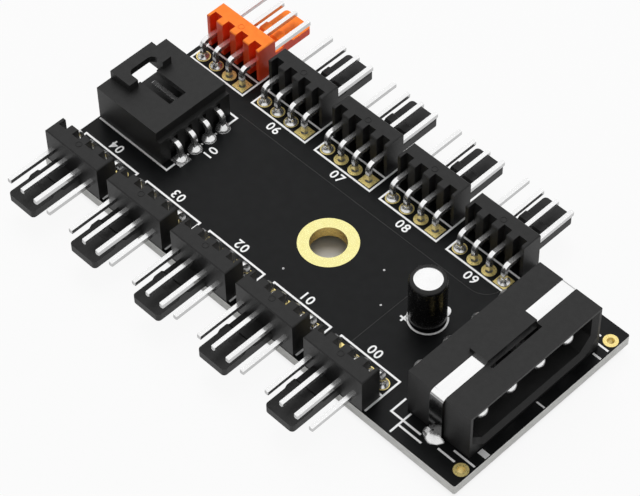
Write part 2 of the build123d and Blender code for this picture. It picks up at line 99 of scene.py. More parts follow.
swing = Matrix.Rotation(VIEW_AZIMUTH, 4, "Z")
tip = Matrix.Rotation(math.pi / 2 - VIEW_ELEVATION, 4, "X")
roll = Matrix.Rotation(VIEW_ROLL, 4, "Z")
step_back = Matrix.Translation((0, 0, VIEW_DISTANCE))
camera.matrix_world = Matrix.Translation(VIEW_TARGET) @ swing @ tip @ roll @ step_back
print("camera in mm:", [round(value / MM, 1) for value in camera.matrix_world.translation])

# %% [markdown]
# ## A white studio
#
# The hub lies on white paper under soft light. A world can be one plain colour, but then bright
# metal has nothing to mirror and looks like paper itself. So this world does three things. The
# camera sees pure white. Mirror-like rays see white overhead and grey near the horizon, which draws
# thin dark lines along the edges of pins. Everything else gets a weaker white fill.

# %% Build the world
WHITE = 1.0
HORIZON_GREY = 0.30
GREY_UP_TO = 0.12
WHITE_FROM = 0.50
FILL_STRENGTH = 0.42

world = bpy.data.worlds.new("studio")
world.use_nodes = True
bpy.context.scene.world = world
sky = world.node_tree
sky.nodes.clear()
sky_out = sky.nodes.new("ShaderNodeOutputWorld")
rays = sky.nodes.new("ShaderNodeLightPath")

direction = sky.nodes.new("ShaderNodeTexCoord")
split = sky.nodes.new("ShaderNodeSeparateXYZ")
height_ramp = sky.nodes.new("ShaderNodeMapRange")
height_ramp.inputs["From Min"].default_value = GREY_UP_TO
height_ramp.inputs["From Max"].default_value = WHITE_FROM
height_ramp.inputs["To Min"].default_value = HORIZON_GREY
height_ramp.inputs["To Max"].default_value = WHITE
sky.links.new(direction.outputs["Generated"], split.inputs[0])
sky.links.new(split.outputs["Z"], height_ramp.inputs["Value"])

fill = sky.nodes.new("ShaderNodeBackground")
fill.inputs["Strength"].default_value = FILL_STRENGTH
mirrored = sky.nodes.new("ShaderNodeBackground")
mirrored.inputs["Strength"].default_value = WHITE
sky.links.new(height_ramp.outputs["Result"], mirrored.inputs["Color"])
seen = sky.nodes.new("ShaderNodeBackground")
seen.inputs["Color"].default_value = (WHITE, WHITE, WHITE, 1)
fill.inputs["Color"].default_value = (WHITE, WHITE, WHITE, 1)

either = sky.nodes.new("ShaderNodeMath")
either.operation = "MAXIMUM"
sky.links.new(rays.outputs["Is Glossy Ray"], either.inputs[0])
sky.links.new(rays.outputs["Is Transmission Ray"], either.inputs[1])
with_mirrored = sky.nodes.new("ShaderNodeMixShader")
sky.links.new(either.outputs[0], with_mirrored.inputs[0])
sky.links.new(fill.outputs[0], with_mirrored.inputs[1])
sky.links.new(mirrored.outputs[0], with_mirrored.inputs[2])
with_seen = sky.nodes.new("ShaderNodeMixShader")
sky.links.new(rays.outputs["Is Camera Ray"], with_seen.inputs[0])
sky.links.new(with_mirrored.outputs[0], with_seen.inputs[1])
sky.links.new(seen.outputs[0], with_seen.inputs[2])
sky.links.new(with_seen.outputs[0], sky_out.inputs["Surface"])
print("world nodes:", len(sky.nodes))

# %% [markdown]
# The paper is one large plane at the lowest point of the hub. Plain white paper would come out grey
# wherever less light falls, and its edge would show. Here most of what the camera sees of it is a
# glow of strength one, which is white, and the rest is ordinary paper that keeps a faint shadow.
# Under the board the glow fades out and only the shaded paper is left, so the mounting hole is dark.

# %% Lay the paper
PAPER_SIZE = 4.0
PAPER_TONE = 0.50
GLOW_SHARE = 0.93
GLOW_FADE = 3 * MM
board_low, board_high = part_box("circuit_board")

paper = bpy.data.materials.new("paper")
paper.use_nodes = True
sheet = paper.node_tree
sheet.nodes.clear()
sheet_out = sheet.nodes.new("ShaderNodeOutputMaterial")
matte = sheet.nodes.new("ShaderNodeBsdfDiffuse")
matte.inputs["Color"].default_value = (PAPER_TONE, PAPER_TONE, PAPER_TONE, 1)
glow = sheet.nodes.new("ShaderNodeEmission")
glow.inputs["Strength"].default_value = WHITE
sheet_rays = sheet.nodes.new("ShaderNodeLightPath")
glossy_too = sheet.nodes.new("ShaderNodeMath")
glossy_too.operation = "MAXIMUM"
clear_too = sheet.nodes.new("ShaderNodeMath")
clear_too.operation = "MAXIMUM"
share = sheet.nodes.new("ShaderNodeMath")
share.operation = "MULTIPLY"
blend = sheet.nodes.new("ShaderNodeMixShader")
sheet.links.new(sheet_rays.outputs["Is Camera Ray"], glossy_too.inputs[0])
sheet.links.new(sheet_rays.outputs["Is Glossy Ray"], glossy_too.inputs[1])
sheet.links.new(glossy_too.outputs[0], clear_too.inputs[0])
sheet.links.new(sheet_rays.outputs["Is Transmission Ray"], clear_too.inputs[1])
sheet.links.new(clear_too.outputs[0], share.inputs[0])
sheet.links.new(share.outputs[0], blend.inputs[0])
sheet.links.new(matte.outputs[0], blend.inputs[1])
sheet.links.new(glow.outputs[0], blend.inputs[2])
sheet.links.new(blend.outputs[0], sheet_out.inputs["Surface"])

sheet_place = sheet.nodes.new("ShaderNodeTexCoord")
one_quarter = sheet.nodes.new("ShaderNodeVectorMath")
one_quarter.operation = "ABSOLUTE"
past_board = sheet.nodes.new("ShaderNodeVectorMath")
past_board.operation = "SUBTRACT"
past_board.inputs[1].default_value = (board_high.x, board_high.y, 0)
past_axes = sheet.nodes.new("ShaderNodeSeparateXYZ")
furthest = sheet.nodes.new("ShaderNodeMath")
furthest.operation = "MAXIMUM"
fade = sheet.nodes.new("ShaderNodeMapRange")
fade.interpolation_type = "SMOOTHSTEP"
fade.inputs["From Min"].default_value = -GLOW_FADE
fade.inputs["From Max"].default_value = 0
fade.inputs["To Max"].default_value = GLOW_SHARE
sheet.links.new(sheet_place.outputs["Object"], one_quarter.inputs[0])
sheet.links.new(one_quarter.outputs[0], past_board.inputs[0])
sheet.links.new(past_board.outputs[0], past_axes.inputs[0])
sheet.links.new(past_axes.outputs["X"], furthest.inputs[0])
sheet.links.new(past_axes.outputs["Y"], furthest.inputs[1])
sheet.links.new(furthest.outputs[0], fade.inputs["Value"])
sheet.links.new(fade.outputs["Result"], share.inputs[1])

half_sheet = PAPER_SIZE / 2
paper_level = cad_box[0].z
paper_mesh = bpy.data.meshes.new("paper")
paper_corners = [(-1, -1), (1, -1), (1, 1), (-1, 1)]
paper_points = [(half_sheet * x, half_sheet * y, paper_level) for x, y in paper_corners]
paper_mesh.from_pydata(paper_points, [], [(0, 1, 2, 3)])
paper_mesh.materials.append(paper)
floor = bpy.data.objects.new("paper", paper_mesh)
bpy.context.scene.collection.objects.link(floor)
print("paper lies at mm:", round(paper_level / MM, 2))

# %% [markdown]
# One broad lamp does the modelling. In the photograph the shadows fall towards the viewer, so the
# lamp hangs high behind the hub. It is kept out of mirror-like rays: they see the white world
# instead, and no bright square lands on the dark board.

# %% Hang the lamp
LAMP_SIZE = 0.40
LAMP_DISTANCE = 0.60
LAMP_ELEVATION = math.radians(62)
LAMP_POWER = 2.8

lamp_data = bpy.data.lights.new("softbox", "AREA")
lamp_data.shape = "SQUARE"
lamp_data.size = LAMP_SIZE
lamp_data.energy = LAMP_POWER
lamp = bpy.data.objects.new("softbox", lamp_data)
bpy.context.scene.collection.objects.link(lamp)
lamp.visible_glossy = False
lamp_swing = Matrix.Rotation(VIEW_AZIMUTH + math.pi, 4, "Z")
lamp_tip = Matrix.Rotation(math.pi / 2 - LAMP_ELEVATION, 4, "X")
lamp.matrix_world = lamp_swing @ lamp_tip @ Matrix.Translation((0, 0, LAMP_DISTANCE))
bpy.context.scene.view_settings.view_transform = "Standard"
print("lamp in mm:", [round(value / MM) for value in lamp.matrix_world.translation])

# %% [markdown]
# ## Materials
#
# Nothing real has one flat colour. Every material here drifts slowly between a darker and a lighter
# tone, its shine drifts too, and a fine relief breaks up the highlight. One helper builds that from
# noise measured in object space, so the grain keeps its real size on every piece. Stretching the
# noise along one direction turns grains into the streaks of drawn wire or rolled strip.
#
# A second helper gives the faces that point sideways a tone of their own. On the board this is a real
# second surface: lacquered faces and a sawn edge. On the pins it is partly real, as rolled faces and
# sheared sides, and partly painted shade. On the strap, the gold ring and the orange header it is
# painted light and shade alone. The surface's direction in object space tells them apart, so no face
# has to be picked by hand.

# %% Helpers for finishes
DRIFT_SCALE = 0.12
DRIFT_DETAIL = 3.0
FINE_DETAIL = 2.0
NOISE_LOW, NOISE_HIGH = 0.3, 0.7
RELIEF_DEPTH = 0.2
LEVEL_FROM = 0.70
SIDEWAYS_BELOW = 0.30
FIRST_TONE, SECOND_TONE, MIXED_TONE = 6, 7, 2


def make_finish(name, dark, light, grain, shine, relief, metallic=0.0, specular=0.5, stretch=(1, 1, 1)):
    """A material that drifts between two tones and two roughnesses. The grain is in metres."""
    material = bpy.data.materials.new(name)
    material.use_nodes = True
    tree = material.node_tree
    shader = tree.nodes["Principled BSDF"]
    shader.inputs["Metallic"].default_value = metallic
    shader.inputs["Specular IOR Level"].default_value = specular

    place = tree.nodes.new("ShaderNodeTexCoord")
    mapping = tree.nodes.new("ShaderNodeMapping")
    mapping.inputs["Scale"].default_value = stretch
    tree.links.new(place.outputs["Object"], mapping.inputs["Vector"])

    drift = tree.nodes.new("ShaderNodeTexNoise")
    drift.inputs["Scale"].default_value = DRIFT_SCALE / grain
    drift.inputs["Detail"].default_value = DRIFT_DETAIL
    tree.links.new(mapping.outputs[0], drift.inputs["Vector"])
    tones = tree.nodes.new("ShaderNodeValToRGB")
    tones.color_ramp.elements[0].position = NOISE_LOW
    tones.color_ramp.elements[1].position = NOISE_HIGH
    tones.color_ramp.elements[0].color = (*dark, 1)
    tones.color_ramp.elements[1].color = (*light, 1)
    tree.links.new(drift.outputs[0], tones.inputs["Fac"])
    tree.links.new(tones.outputs["Color"], shader.inputs["Base Color"])

    fine = tree.nodes.new("ShaderNodeTexNoise")
    fine.inputs["Scale"].default_value = 1.0 / grain
    fine.inputs["Detail"].default_value = FINE_DETAIL
    tree.links.new(mapping.outputs[0], fine.inputs["Vector"])
    spread = tree.nodes.new("ShaderNodeMapRange")
    spread.inputs["From Min"].default_value = NOISE_LOW
    spread.inputs["From Max"].default_value = NOISE_HIGH
    spread.inputs["To Min"].default_value = shine[0]
    spread.inputs["To Max"].default_value = shine[1]
    tree.links.new(fine.outputs[0], spread.inputs["Value"])
    tree.links.new(spread.outputs["Result"], shader.inputs["Roughness"])

    bump = tree.nodes.new("ShaderNodeBump")
    bump.inputs["Strength"].default_value = relief
    bump.inputs["Distance"].default_value = grain * RELIEF_DEPTH
    tree.links.new(fine.outputs[0], bump.inputs["Height"])
    tree.links.new(bump.outputs["Normal"], shader.inputs["Normal"])
    return material


def grey(level):
    """A neutral tone."""
    return (level, level, level)


def tone_on_sides(material, side_tone):
    """Shows a second tone, given as a socket, wherever the surface points sideways."""
    tree = material.node_tree
    shader = tree.nodes["Principled BSDF"]
    level_tone = shader.inputs["Base Color"].links[0].from_socket
    place = tree.nodes.new("ShaderNodeTexCoord")
    axes = tree.nodes.new("ShaderNodeSeparateXYZ")
    tree.links.new(place.outputs["Normal"], axes.inputs[0])
    upright = tree.nodes.new("ShaderNodeMath")
    upright.operation = "ABSOLUTE"
    tree.links.new(axes.outputs["Z"], upright.inputs[0])
    is_side = tree.nodes.new("ShaderNodeMapRange")
    is_side.inputs["From Min"].default_value = LEVEL_FROM
    is_side.inputs["From Max"].default_value = SIDEWAYS_BELOW
    tree.links.new(upright.outputs[0], is_side.inputs["Value"])
    mix = tree.nodes.new("ShaderNodeMix")
    mix.data_type = "RGBA"
    tree.links.new(is_side.outputs["Result"], mix.inputs["Factor"])
    tree.links.new(level_tone, mix.inputs[FIRST_TONE])
    tree.links.new(side_tone, mix.inputs[SECOND_TONE])
    tree.links.new(mix.outputs[MIXED_TONE], shader.inputs["Base Color"])


def tint_sides(material, tint):
    """Multiplies a material's own tone by a tint wherever the surface points sideways."""
    tree = material.node_tree
    own_tone = tree.nodes["Principled BSDF"].inputs["Base Color"].links[0].from_socket
    tinted = tree.nodes.new("ShaderNodeMix")
    tinted.data_type = "RGBA"
    tinted.blend_type = "MULTIPLY"
    tinted.inputs["Factor"].default_value = 1.0
    tinted.inputs[SECOND_TONE].default_value = (*tint, 1)
    tree.links.new(own_tone, tinted.inputs[FIRST_TONE])
    tone_on_sides(material, tinted.outputs[MIXED_TONE])


print("helpers ready:", make_finish.__name__, tone_on_sides.__name__, tint_sides.__name__)

# %% [markdown]
# The plastics come first. Black nylon is never quite black: its moulded skin is a dense fine grain
# that scatters some light. The orange header is the same kind of nylon with a strong pigment. Its
# upright faces are painted redder and darker: painted shade, reddened as light bounces between the
# ribs and is filtered each time. The capacitor wears a thin shrunk sleeve, which is much glossier, and
# stands on a dull rubber bung.

# %% Plastics and rubber
PAINTED_RED_SIDE_SHADE = (1.0, 0.30, 0.35)
black_plastic = make_finish(
    "black_plastic", grey(0.006), grey(0.010),
    grain=0.09 * MM, shine=(0.46, 0.60), relief=0.20, specular=0.45,
)
orange_plastic = make_finish(
    "orange_plastic", (0.92, 0.20, 0.018), (0.98, 0.24, 0.026),
    grain=0.10 * MM, shine=(0.34, 0.48), relief=0.20, specular=0.35,
)
# Upright faces get a painted redder, darker tone, standing in for shade and light bounced between the
# ribs.
tint_sides(orange_plastic, PAINTED_RED_SIDE_SHADE)
sleeve_film = make_finish(
    "sleeve_film", grey(0.003), grey(0.006),
    grain=0.35 * MM, shine=(0.20, 0.30), relief=0.06, specular=0.35,
)
rubber = make_finish(
    "rubber", grey(0.015), grey(0.025),
    grain=0.06 * MM, shine=(0.65, 0.80), relief=0.30, specular=0.3,
)
mouldings = {"black_plastic": black_plastic, "orange_plastic": orange_plastic}
print("plastics:", [item.name for item in (*mouldings.values(), sleeve_film, rubber)])

# %% [markdown]
# Now the metals. The flat pins and the strap are stamped from tinned strip, and their grain runs in
# streaks. The pins' sideways faces are darker, partly because what was sheared is duller than what was
# rolled and partly as painted shade for the dark board they mirror. The strap's sideways faces are
# painted almost black, a painted reflection of the dark board. The round power pins are turned and
# have a satin skin. Solder froze from a pool and has soft blotches. The ring round the mounting hole is
# a bright, pale gold, and its barrel wall is painted warmer and darker as shade and bounced gold light
# inside the hole. The pads carry a thinner flash that looks deeper and rougher. The can's top is
# pressed aluminium.

# %% Metals
PIN_STREAKS = (1, 0.12, 1)
STRAP_SIDES_PAINTED_DARK = 0.07
SHEARED_AND_SHADED_SIDES = 0.64
PAINTED_BARREL_SHADE = (1.0, 0.80, 0.60)
tinned_pins = make_finish(
    "tinned_pins", grey(0.88), grey(0.95),
    grain=0.10 * MM, shine=(0.12, 0.20), relief=0.06, metallic=0.82, stretch=PIN_STREAKS,
)
# Sideways faces are darkened: partly the duller sheared skin, partly painted shade for the dark board
# they mirror.
tint_sides(tinned_pins, grey(SHEARED_AND_SHADED_SIDES))
satin_pins = make_finish(
    "satin_pins", grey(0.90), grey(0.97),
    grain=0.12 * MM, shine=(0.30, 0.42), relief=0.08, metallic=1.0,
)
tinned_strap = make_finish(
    "tinned_strap", grey(0.93), grey(0.98),
    grain=0.14 * MM, shine=(0.09, 0.16), relief=0.05, metallic=1.0, stretch=PIN_STREAKS,
)
# The strap's sideways faces are painted nearly black, a painted reflection of the dark board.
tint_sides(tinned_strap, grey(STRAP_SIDES_PAINTED_DARK))
solder = make_finish(
    "solder", grey(0.74), grey(0.88),
    grain=0.25 * MM, shine=(0.16, 0.30), relief=0.16, metallic=0.86,
)
gold = make_finish(
    "gold", (0.94, 0.86, 0.36), (0.99, 0.92, 0.43),
    grain=0.12 * MM, shine=(0.20, 0.30), relief=0.02, metallic=0.85,
)
# The barrel wall and edges get a painted warmer, darker tone: painted shade and bounced gold light
# inside the hole.
tint_sides(gold, PAINTED_BARREL_SHADE)
pad_gold = make_finish(
    "pad_gold", (0.91, 0.72, 0.25), (0.98, 0.81, 0.33),
    grain=0.20 * MM, shine=(0.26, 0.32), relief=0.02, metallic=0.60,
)
aluminium = make_finish(
    "aluminium", grey(0.95), grey(0.99),
    grain=0.15 * MM, shine=(0.20, 0.30), relief=0.05, metallic=1.0,
)
metals = (tinned_pins, satin_pins, tinned_strap, solder, gold, pad_gold, aluminium)
print("metals:", [item.name for item in metals])

# %% [markdown]
# The board is two materials in one solid: a black lacquer on its two faces and pale glass cloth on
# its cut edges. Splitting the mesh would do it, but the surface direction already tells them apart.
# Where the face points sideways the shader shows layers of glass cloth, and elsewhere the lacquer.

# %% Board lacquer with a cut edge
LACQUER_DARK = (0.0030, 0.0033, 0.0036)
LACQUER_LIGHT = (0.0050, 0.0054, 0.0058)
CLOTH_DARK = (0.80, 0.80, 0.77)
CLOTH_LIGHT = (0.94, 0.94, 0.91)
CLOTH_LAYER = 0.18 * MM
CLOTH_STRETCH = (0.15, 0.15, 1.0)
CLOTH_FROM, CLOTH_FULL = 0.35, 0.60

lacquer = make_finish(
    "lacquer", LACQUER_DARK, LACQUER_LIGHT,
    grain=0.16 * MM, shine=(0.28, 0.40), relief=0.06, specular=0.18,
)
board_tree = lacquer.node_tree
board_place = board_tree.nodes.new("ShaderNodeTexCoord")
layer_scale = board_tree.nodes.new("ShaderNodeMapping")
layer_scale.inputs["Scale"].default_value = CLOTH_STRETCH
board_tree.links.new(board_place.outputs["Object"], layer_scale.inputs["Vector"])
layers = board_tree.nodes.new("ShaderNodeTexNoise")
layers.inputs["Scale"].default_value = 1.0 / CLOTH_LAYER
board_tree.links.new(layer_scale.outputs[0], layers.inputs["Vector"])
cloth = board_tree.nodes.new("ShaderNodeValToRGB")
cloth.color_ramp.elements[0].position = CLOTH_FROM
cloth.color_ramp.elements[1].position = CLOTH_FULL
cloth.color_ramp.elements[0].color = (*CLOTH_DARK, 1)
cloth.color_ramp.elements[1].color = (*CLOTH_LIGHT, 1)
board_tree.links.new(layers.outputs[0], cloth.inputs["Fac"])

tone_on_sides(lacquer, cloth.outputs["Color"])
raised_lacquer = make_finish(
    "raised_lacquer", grey(0.020), grey(0.028),
    grain=0.16 * MM, shine=(0.30, 0.42), relief=0.06, specular=0.30,
)
ink = make_finish(
    "ink", grey(0.92), grey(0.97),
    grain=0.05 * MM, shine=(0.55, 0.70), relief=0.15, specular=0.3,
)
print("board material nodes:", len(board_tree.nodes))

# %% [markdown]
# Some CAD solids are already right as they stand: the board, its pads and plating, the solder below
# it, the capacitor and the round power pins. They only need their material. The signal header's pads
# are wetted all over, so they wear solder and not gold. A solid that came from CAD can carry an old
# material, so its list is cleared first.

# %% Dress the solids that stay
def dress(node, finish):
    """Gives one CAD solid its material."""
    mesh = nodes[node].data
    mesh.materials.clear()
    mesh.materials.append(finish)


plain_solids = {
    "circuit_board": lacquer,
    "mounting_hole_plating": gold,
    "corner_pads": pad_gold,
    "near_row_pads": pad_gold,
    "far_row_pads": pad_gold,
    "signal_pads": solder,
    "power_pads": pad_gold,
    "near_row_solder": solder,
    "far_row_solder": solder,
    "signal_solder": solder,
    "power_solder": solder,
    "strap_solder_under": solder,
    "capacitor_solder": solder,
    "power_pins": satin_pins,
    "capacitor_can": aluminium,
    "capacitor_sleeve": sleeve_film,
    "capacitor_bung": rubber,
    "capacitor_leads": tinned_pins,
}
for node, finish in plain_solids.items():
    dress(node, finish)
print("solids dressed as they stand:", len(plain_solids))

# %% [markdown]
# ## Softened edges
#
# The headers, pins and strap have razor edges in CAD, and real mouldings and wire never do. A bevel
# catches the thin bright line that makes an edge look solid. A Bevel modifier would need the CAD
# mesh to be joined up first, because it arrives as loose triangles. So each piece is a copy: its
# points are merged, flat areas become single faces, and the sharp edges that remain are rounded.
# Very short edges, such as the steps of a round hole, are left alone, as they would stop the bevel.

# %% Helpers for pieces and soft edges
MERGE_DISTANCE = 2e-6
FLAT_ANGLE = math.radians(1)
SHARP_ANGLE = math.radians(35)
SMOOTH_ANGLE = math.radians(40)
BEVEL_STEPS = 2
BEVEL_ROUND = 0.5


def add_piece(name, mesh, finish, stands_for=()):
    """Puts a finished mesh in the scene, tied to the hub's only body."""
    mesh.materials.clear()
    mesh.materials.append(finish)
    piece = bpy.data.objects.new(name, mesh)
    bpy.context.scene.collection.objects.link(piece)
    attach(piece, "root")
    if stands_for:
        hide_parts(*stands_for)
    return piece


def softened(node, width, shortest):
    """A joined-up copy of one CAD solid with its longer sharp edges rounded."""
    shape = bmesh.new()
    shape.from_mesh(nodes[node].data)
    bmesh.ops.remove_doubles(shape, verts=shape.verts, dist=MERGE_DISTANCE)
    bmesh.ops.dissolve_limit(shape, angle_limit=FLAT_ANGLE, verts=shape.verts, edges=shape.edges)
    sharp = []
    for edge in shape.edges:
        if edge.calc_face_angle(0) > SHARP_ANGLE and edge.calc_length() > shortest:
            sharp.append(edge)
    bmesh.ops.bevel(
        shape, geom=sharp, offset=width, offset_type="OFFSET", segments=BEVEL_STEPS,
        profile=BEVEL_ROUND, affect="EDGES", clamp_overlap=True,
    )
    mesh = bpy.data.meshes.new("soft_" + node)
    shape.to_mesh(mesh)
    shape.free()
    mesh.shade_smooth()
    mesh.set_sharp_from_angle(angle=SMOOTH_ANGLE)
    return mesh


def add_softened(node, width, shortest, finish):
    """Replaces one CAD solid by its softened copy, with flat faces kept looking flat."""
    piece = add_piece("soft_" + node, softened(node, width, shortest), finish, (node,))
    level = piece.modifiers.new("flat faces stay flat", "WEIGHTED_NORMAL")
    level.keep_sharp = True
    return piece


print("sharp means over", round(math.degrees(SHARP_ANGLE)), "degrees")

# %% [markdown]
# A mould's corners are rounded by about a tenth of a millimetre, and the wire's by a little more. The
# two sockets have round holes for their pins, so only longer edges are rounded there. Each copy then
# stands in for its solid, which is hidden.

# %% Soften headers, pins and strap
PORTS = 10
ORANGE_PORT = 5
MOULD_EDGE = 0.10 * MM
SOCKET_EDGE = 0.16 * MM
WIRE_EDGE = 0.13 * MM
SHORT_STEP = 0.14 * MM
HOLE_STEP = 0.60 * MM

for port in range(PORTS):
    slot = "orange_plastic" if port == ORANGE_PORT else "black_plastic"
    add_softened(f"fan_housing_{port}", MOULD_EDGE, SHORT_STEP, mouldings[slot])
    add_softened(f"fan_pins_{port}", WIRE_EDGE, SHORT_STEP, tinned_pins)
add_softened("signal_housing", SOCKET_EDGE, HOLE_STEP, black_plastic)
add_softened("signal_pins", WIRE_EDGE, SHORT_STEP, tinned_pins)
add_softened("power_housing", SOCKET_EDGE, HOLE_STEP, black_plastic)
add_softened("power_strap", WIRE_EDGE, SHORT_STEP, tinned_strap)

# %% [markdown]
# ## Printed marks
#
# White ink frames every connector. The ink is a real thin layer, so it catches light at its edge and
# can be exported as a mesh. Each mark is a flat bar. Bars meet end to side and do not cross, since
# two faces in exactly the same place flicker. A port's marks are written once, in the port's own
# directions: along the row, and outward from its pads. The near row is turned half round.
# Ink is laid on last and rarely lands exactly on the copper. Here the whole print has slipped a
# little towards the far row, so its lines stand nearer the far pads than the near ones.

# %% Places read from the frame
PORTS_PER_ROW = 5
PIN_COUNT = 4
PIN_PITCH = 2.54 * MM


def middle(node):
    """The centre of one CAD solid's box."""
    low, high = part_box(node)
    return (low + high) / 2


BOARD_TOP = board_high.z
PAD_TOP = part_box("far_row_pads")[1].z
port_x = [middle(f"fan_housing_{port}").x for port in range(PORTS)]
row_y = {-1: middle("near_row_pads").y, 1: middle("far_row_pads").y}
facing = [-1 if port < PORTS_PER_ROW else 1 for port in range(PORTS)]
can_middle = middle("capacitor_can")


def port_point(port, along, outward):
    """A point in a port's own directions, as x and y on the board."""
    side = facing[port]
    return (port_x[port] + side * along, row_y[side] + side * outward)


def pin_along(pin):
    """Where a pin stands along its header, measured from the header's middle."""
    return (pin - (PIN_COUNT - 1) / 2) * PIN_PITCH


print("port centres in mm:", [round(x / MM, 2) for x in port_x])
print("pad rows in mm:", {side: round(y / MM, 2) for side, y in row_y.items()})

# %% [markdown]
# A port's frame is four bars: one line along the inside of its pads, a second line outside them, and
# two sides that run out under the housing. One function lays any bar from two opposite corners, and
# two more lay a line of the usual width along the board or across it.

# %% Draw the frames
INK_HEIGHT = 0.03 * MM
INK_SINK = 0.01 * MM
LINE = 0.28 * MM
FRAME_HALF = 5.05 * MM
FRAME_INNER = -1.515 * MM
FRAME_SECOND = 1.515 * MM
FRAME_OUTER = 4.6 * MM
PRINT_SLIP = Vector((0.12, 0.235)) * MM

printed = bmesh.new()


def print_point(port, along, outward):
    """A point in a port's own directions, moved by as much as the print slipped."""
    x, y = port_point(port, along, outward)
    return (x + PRINT_SLIP.x, y + PRINT_SLIP.y)


def ink_bar(low, high):
    """A flat bar of ink between two corners given as x and y."""
    x_range = sorted((low[0], high[0]))
    y_range = sorted((low[1], high[1]))
    z_range = (BOARD_TOP - INK_SINK, BOARD_TOP + INK_HEIGHT)
    size = (x_range[1] - x_range[0], y_range[1] - y_range[0], z_range[1] - z_range[0])
    centre = (sum(x_range) / 2, sum(y_range) / 2, sum(z_range) / 2)
    place = Matrix.Translation(centre) @ Matrix.Diagonal((*size, 1))
    bmesh.ops.create_cube(printed, size=1, matrix=place)


def ink_along(x_from, x_to, y):
    """A line of ink along the board."""
    ink_bar((x_from, y - LINE / 2), (x_to, y + LINE / 2))


def ink_across(x, y_from, y_to):
    """A line of ink across the board."""
    ink_bar((x - LINE / 2, y_from), (x + LINE / 2, y_to))


for port in range(PORTS):
    half = LINE / 2
    inner_low = print_point(port, -FRAME_HALF - half, FRAME_INNER - half)
    inner_high = print_point(port, FRAME_HALF + half, FRAME_INNER + half)
    ink_bar(inner_low, inner_high)
    for end in (-FRAME_HALF, FRAME_HALF):
        side_low = print_point(port, end - half, FRAME_INNER + half)
        side_high = print_point(port, end + half, FRAME_OUTER)
        ink_bar(side_low, side_high)
    second_low = print_point(port, -FRAME_HALF + half, FRAME_SECOND - half)
    second_high = print_point(port, FRAME_HALF - half, FRAME_SECOND + half)
    ink_bar(second_low, second_high)
print("ink bars so far:", len(printed.faces) // 6)

# %% [markdown]
# The signal header at the board's end, the power socket and the capacitor have outlines of their own.
# The header's inner line runs between its pads as short dashes. The socket's outline stands clear of
# its walls and is cut by the strap's solder, with a second line and a cross line beside it. Bars at
# the board's edge show where the plug's housing ends, and a plus marks the capacitor's positive lead.

# %% Outlines of the header and the socket
signal_low, signal_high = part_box("signal_housing")
signal_pad_x = middle("signal_pads").x
signal_pad_y = middle("signal_pads").y
HEADER_MARGIN = 0.16 * MM
DASH_HALF = 0.10 * MM
PAD_HALF = 1.05 * MM

half = LINE / 2
for side_y, outward in ((signal_low.y - HEADER_MARGIN, -1), (signal_high.y + HEADER_MARGIN, 1)):
    ink_along(board_low.x + LINE, signal_pad_x + half, side_y)
    end_pad = signal_pad_y + outward * pin_along(PIN_COUNT - 1)
    ink_across(signal_pad_x, end_pad + outward * PAD_HALF, side_y - outward * half)
for gap in (-1, 0, 1):
    gap_y = signal_pad_y + gap * PIN_PITCH
    ink_across(signal_pad_x, gap_y - DASH_HALF, gap_y + DASH_HALF)

SOCKET_REAR = 24.05 * MM
SOCKET_SIDE = 13.2 * MM
SOCKET_RETURN = 10.6 * MM
SOCKET_FRONT = 34.6 * MM
BLOB_NEAR = 29.0 * MM
BLOB_FAR = 31.85 * MM
SECOND_END = 29.9 * MM
SECOND_SIDE = 14.05 * MM
CROSS_X = 26.05 * MM
CROSS_FROM = 11.8 * MM
CROSS_TO = 15.5 * MM
MOUTH_SIDE = 12.05 * MM
MOUTH_FROM = 33.4 * MM

for side in (-1, 1):
    ink_across(SOCKET_REAR, side * SOCKET_RETURN, side * (SOCKET_SIDE - half))
    ink_along(SOCKET_REAR - half, CROSS_X - half, side * SOCKET_SIDE)
    ink_along(CROSS_X + half, BLOB_NEAR, side * SOCKET_SIDE)
    ink_along(BLOB_FAR, SOCKET_FRONT, side * SOCKET_SIDE)
    ink_along(CROSS_X + half, SECOND_END, side * SECOND_SIDE)
    ink_across(CROSS_X, side * CROSS_FROM, side * CROSS_TO)
    ink_along(MOUTH_FROM, board_high.x - LINE, side * MOUTH_SIDE)

EDGE_BAR_FROM = 35.65 * MM
edge_bars = ((-9.9 * MM, 0.85 * MM), (0.2 * MM, 0.26 * MM), (10.5 * MM, 0.30 * MM))
for bar_y, bar_width in edge_bars:
    ink_bar((EDGE_BAR_FROM, bar_y - bar_width / 2), (board_high.x - half, bar_y + bar_width / 2))

PLUS_PLACE = Vector((15.26, -1.98)) * MM
PLUS_ARM = 0.57 * MM
plus_x, plus_y = PLUS_PLACE
ink_along(plus_x - PLUS_ARM, plus_x + PLUS_ARM, plus_y)
for arm in (-1, 1):
    ink_across(plus_x, plus_y + arm * half, plus_y + arm * PLUS_ARM)
print("ink bars in all:", len(printed.faces) // 6)

# %% [markdown]
# Each port also gets a plain number beside its frame. Blender's text is a curve with thickness, so it
# is turned into a mesh first and only then moved to its place. The near row's numbers stand upside
# down to the far row's, like everything else there.

# %% Print the numbers
NUMBER_SIZE = 1.95 * MM
NUMBER_ALONG = 0.3 * MM
NUMBER_OUTWARD = -2.74 * MM
NUMBER_WEIGHT = 0.03 * MM
NUMBER_SPACING = 1.12
NUMBER_STEPS = 3
INK_MERGE = 5e-7
SIGNAL_NUMBER = Vector((-21.75, -0.2)) * MM


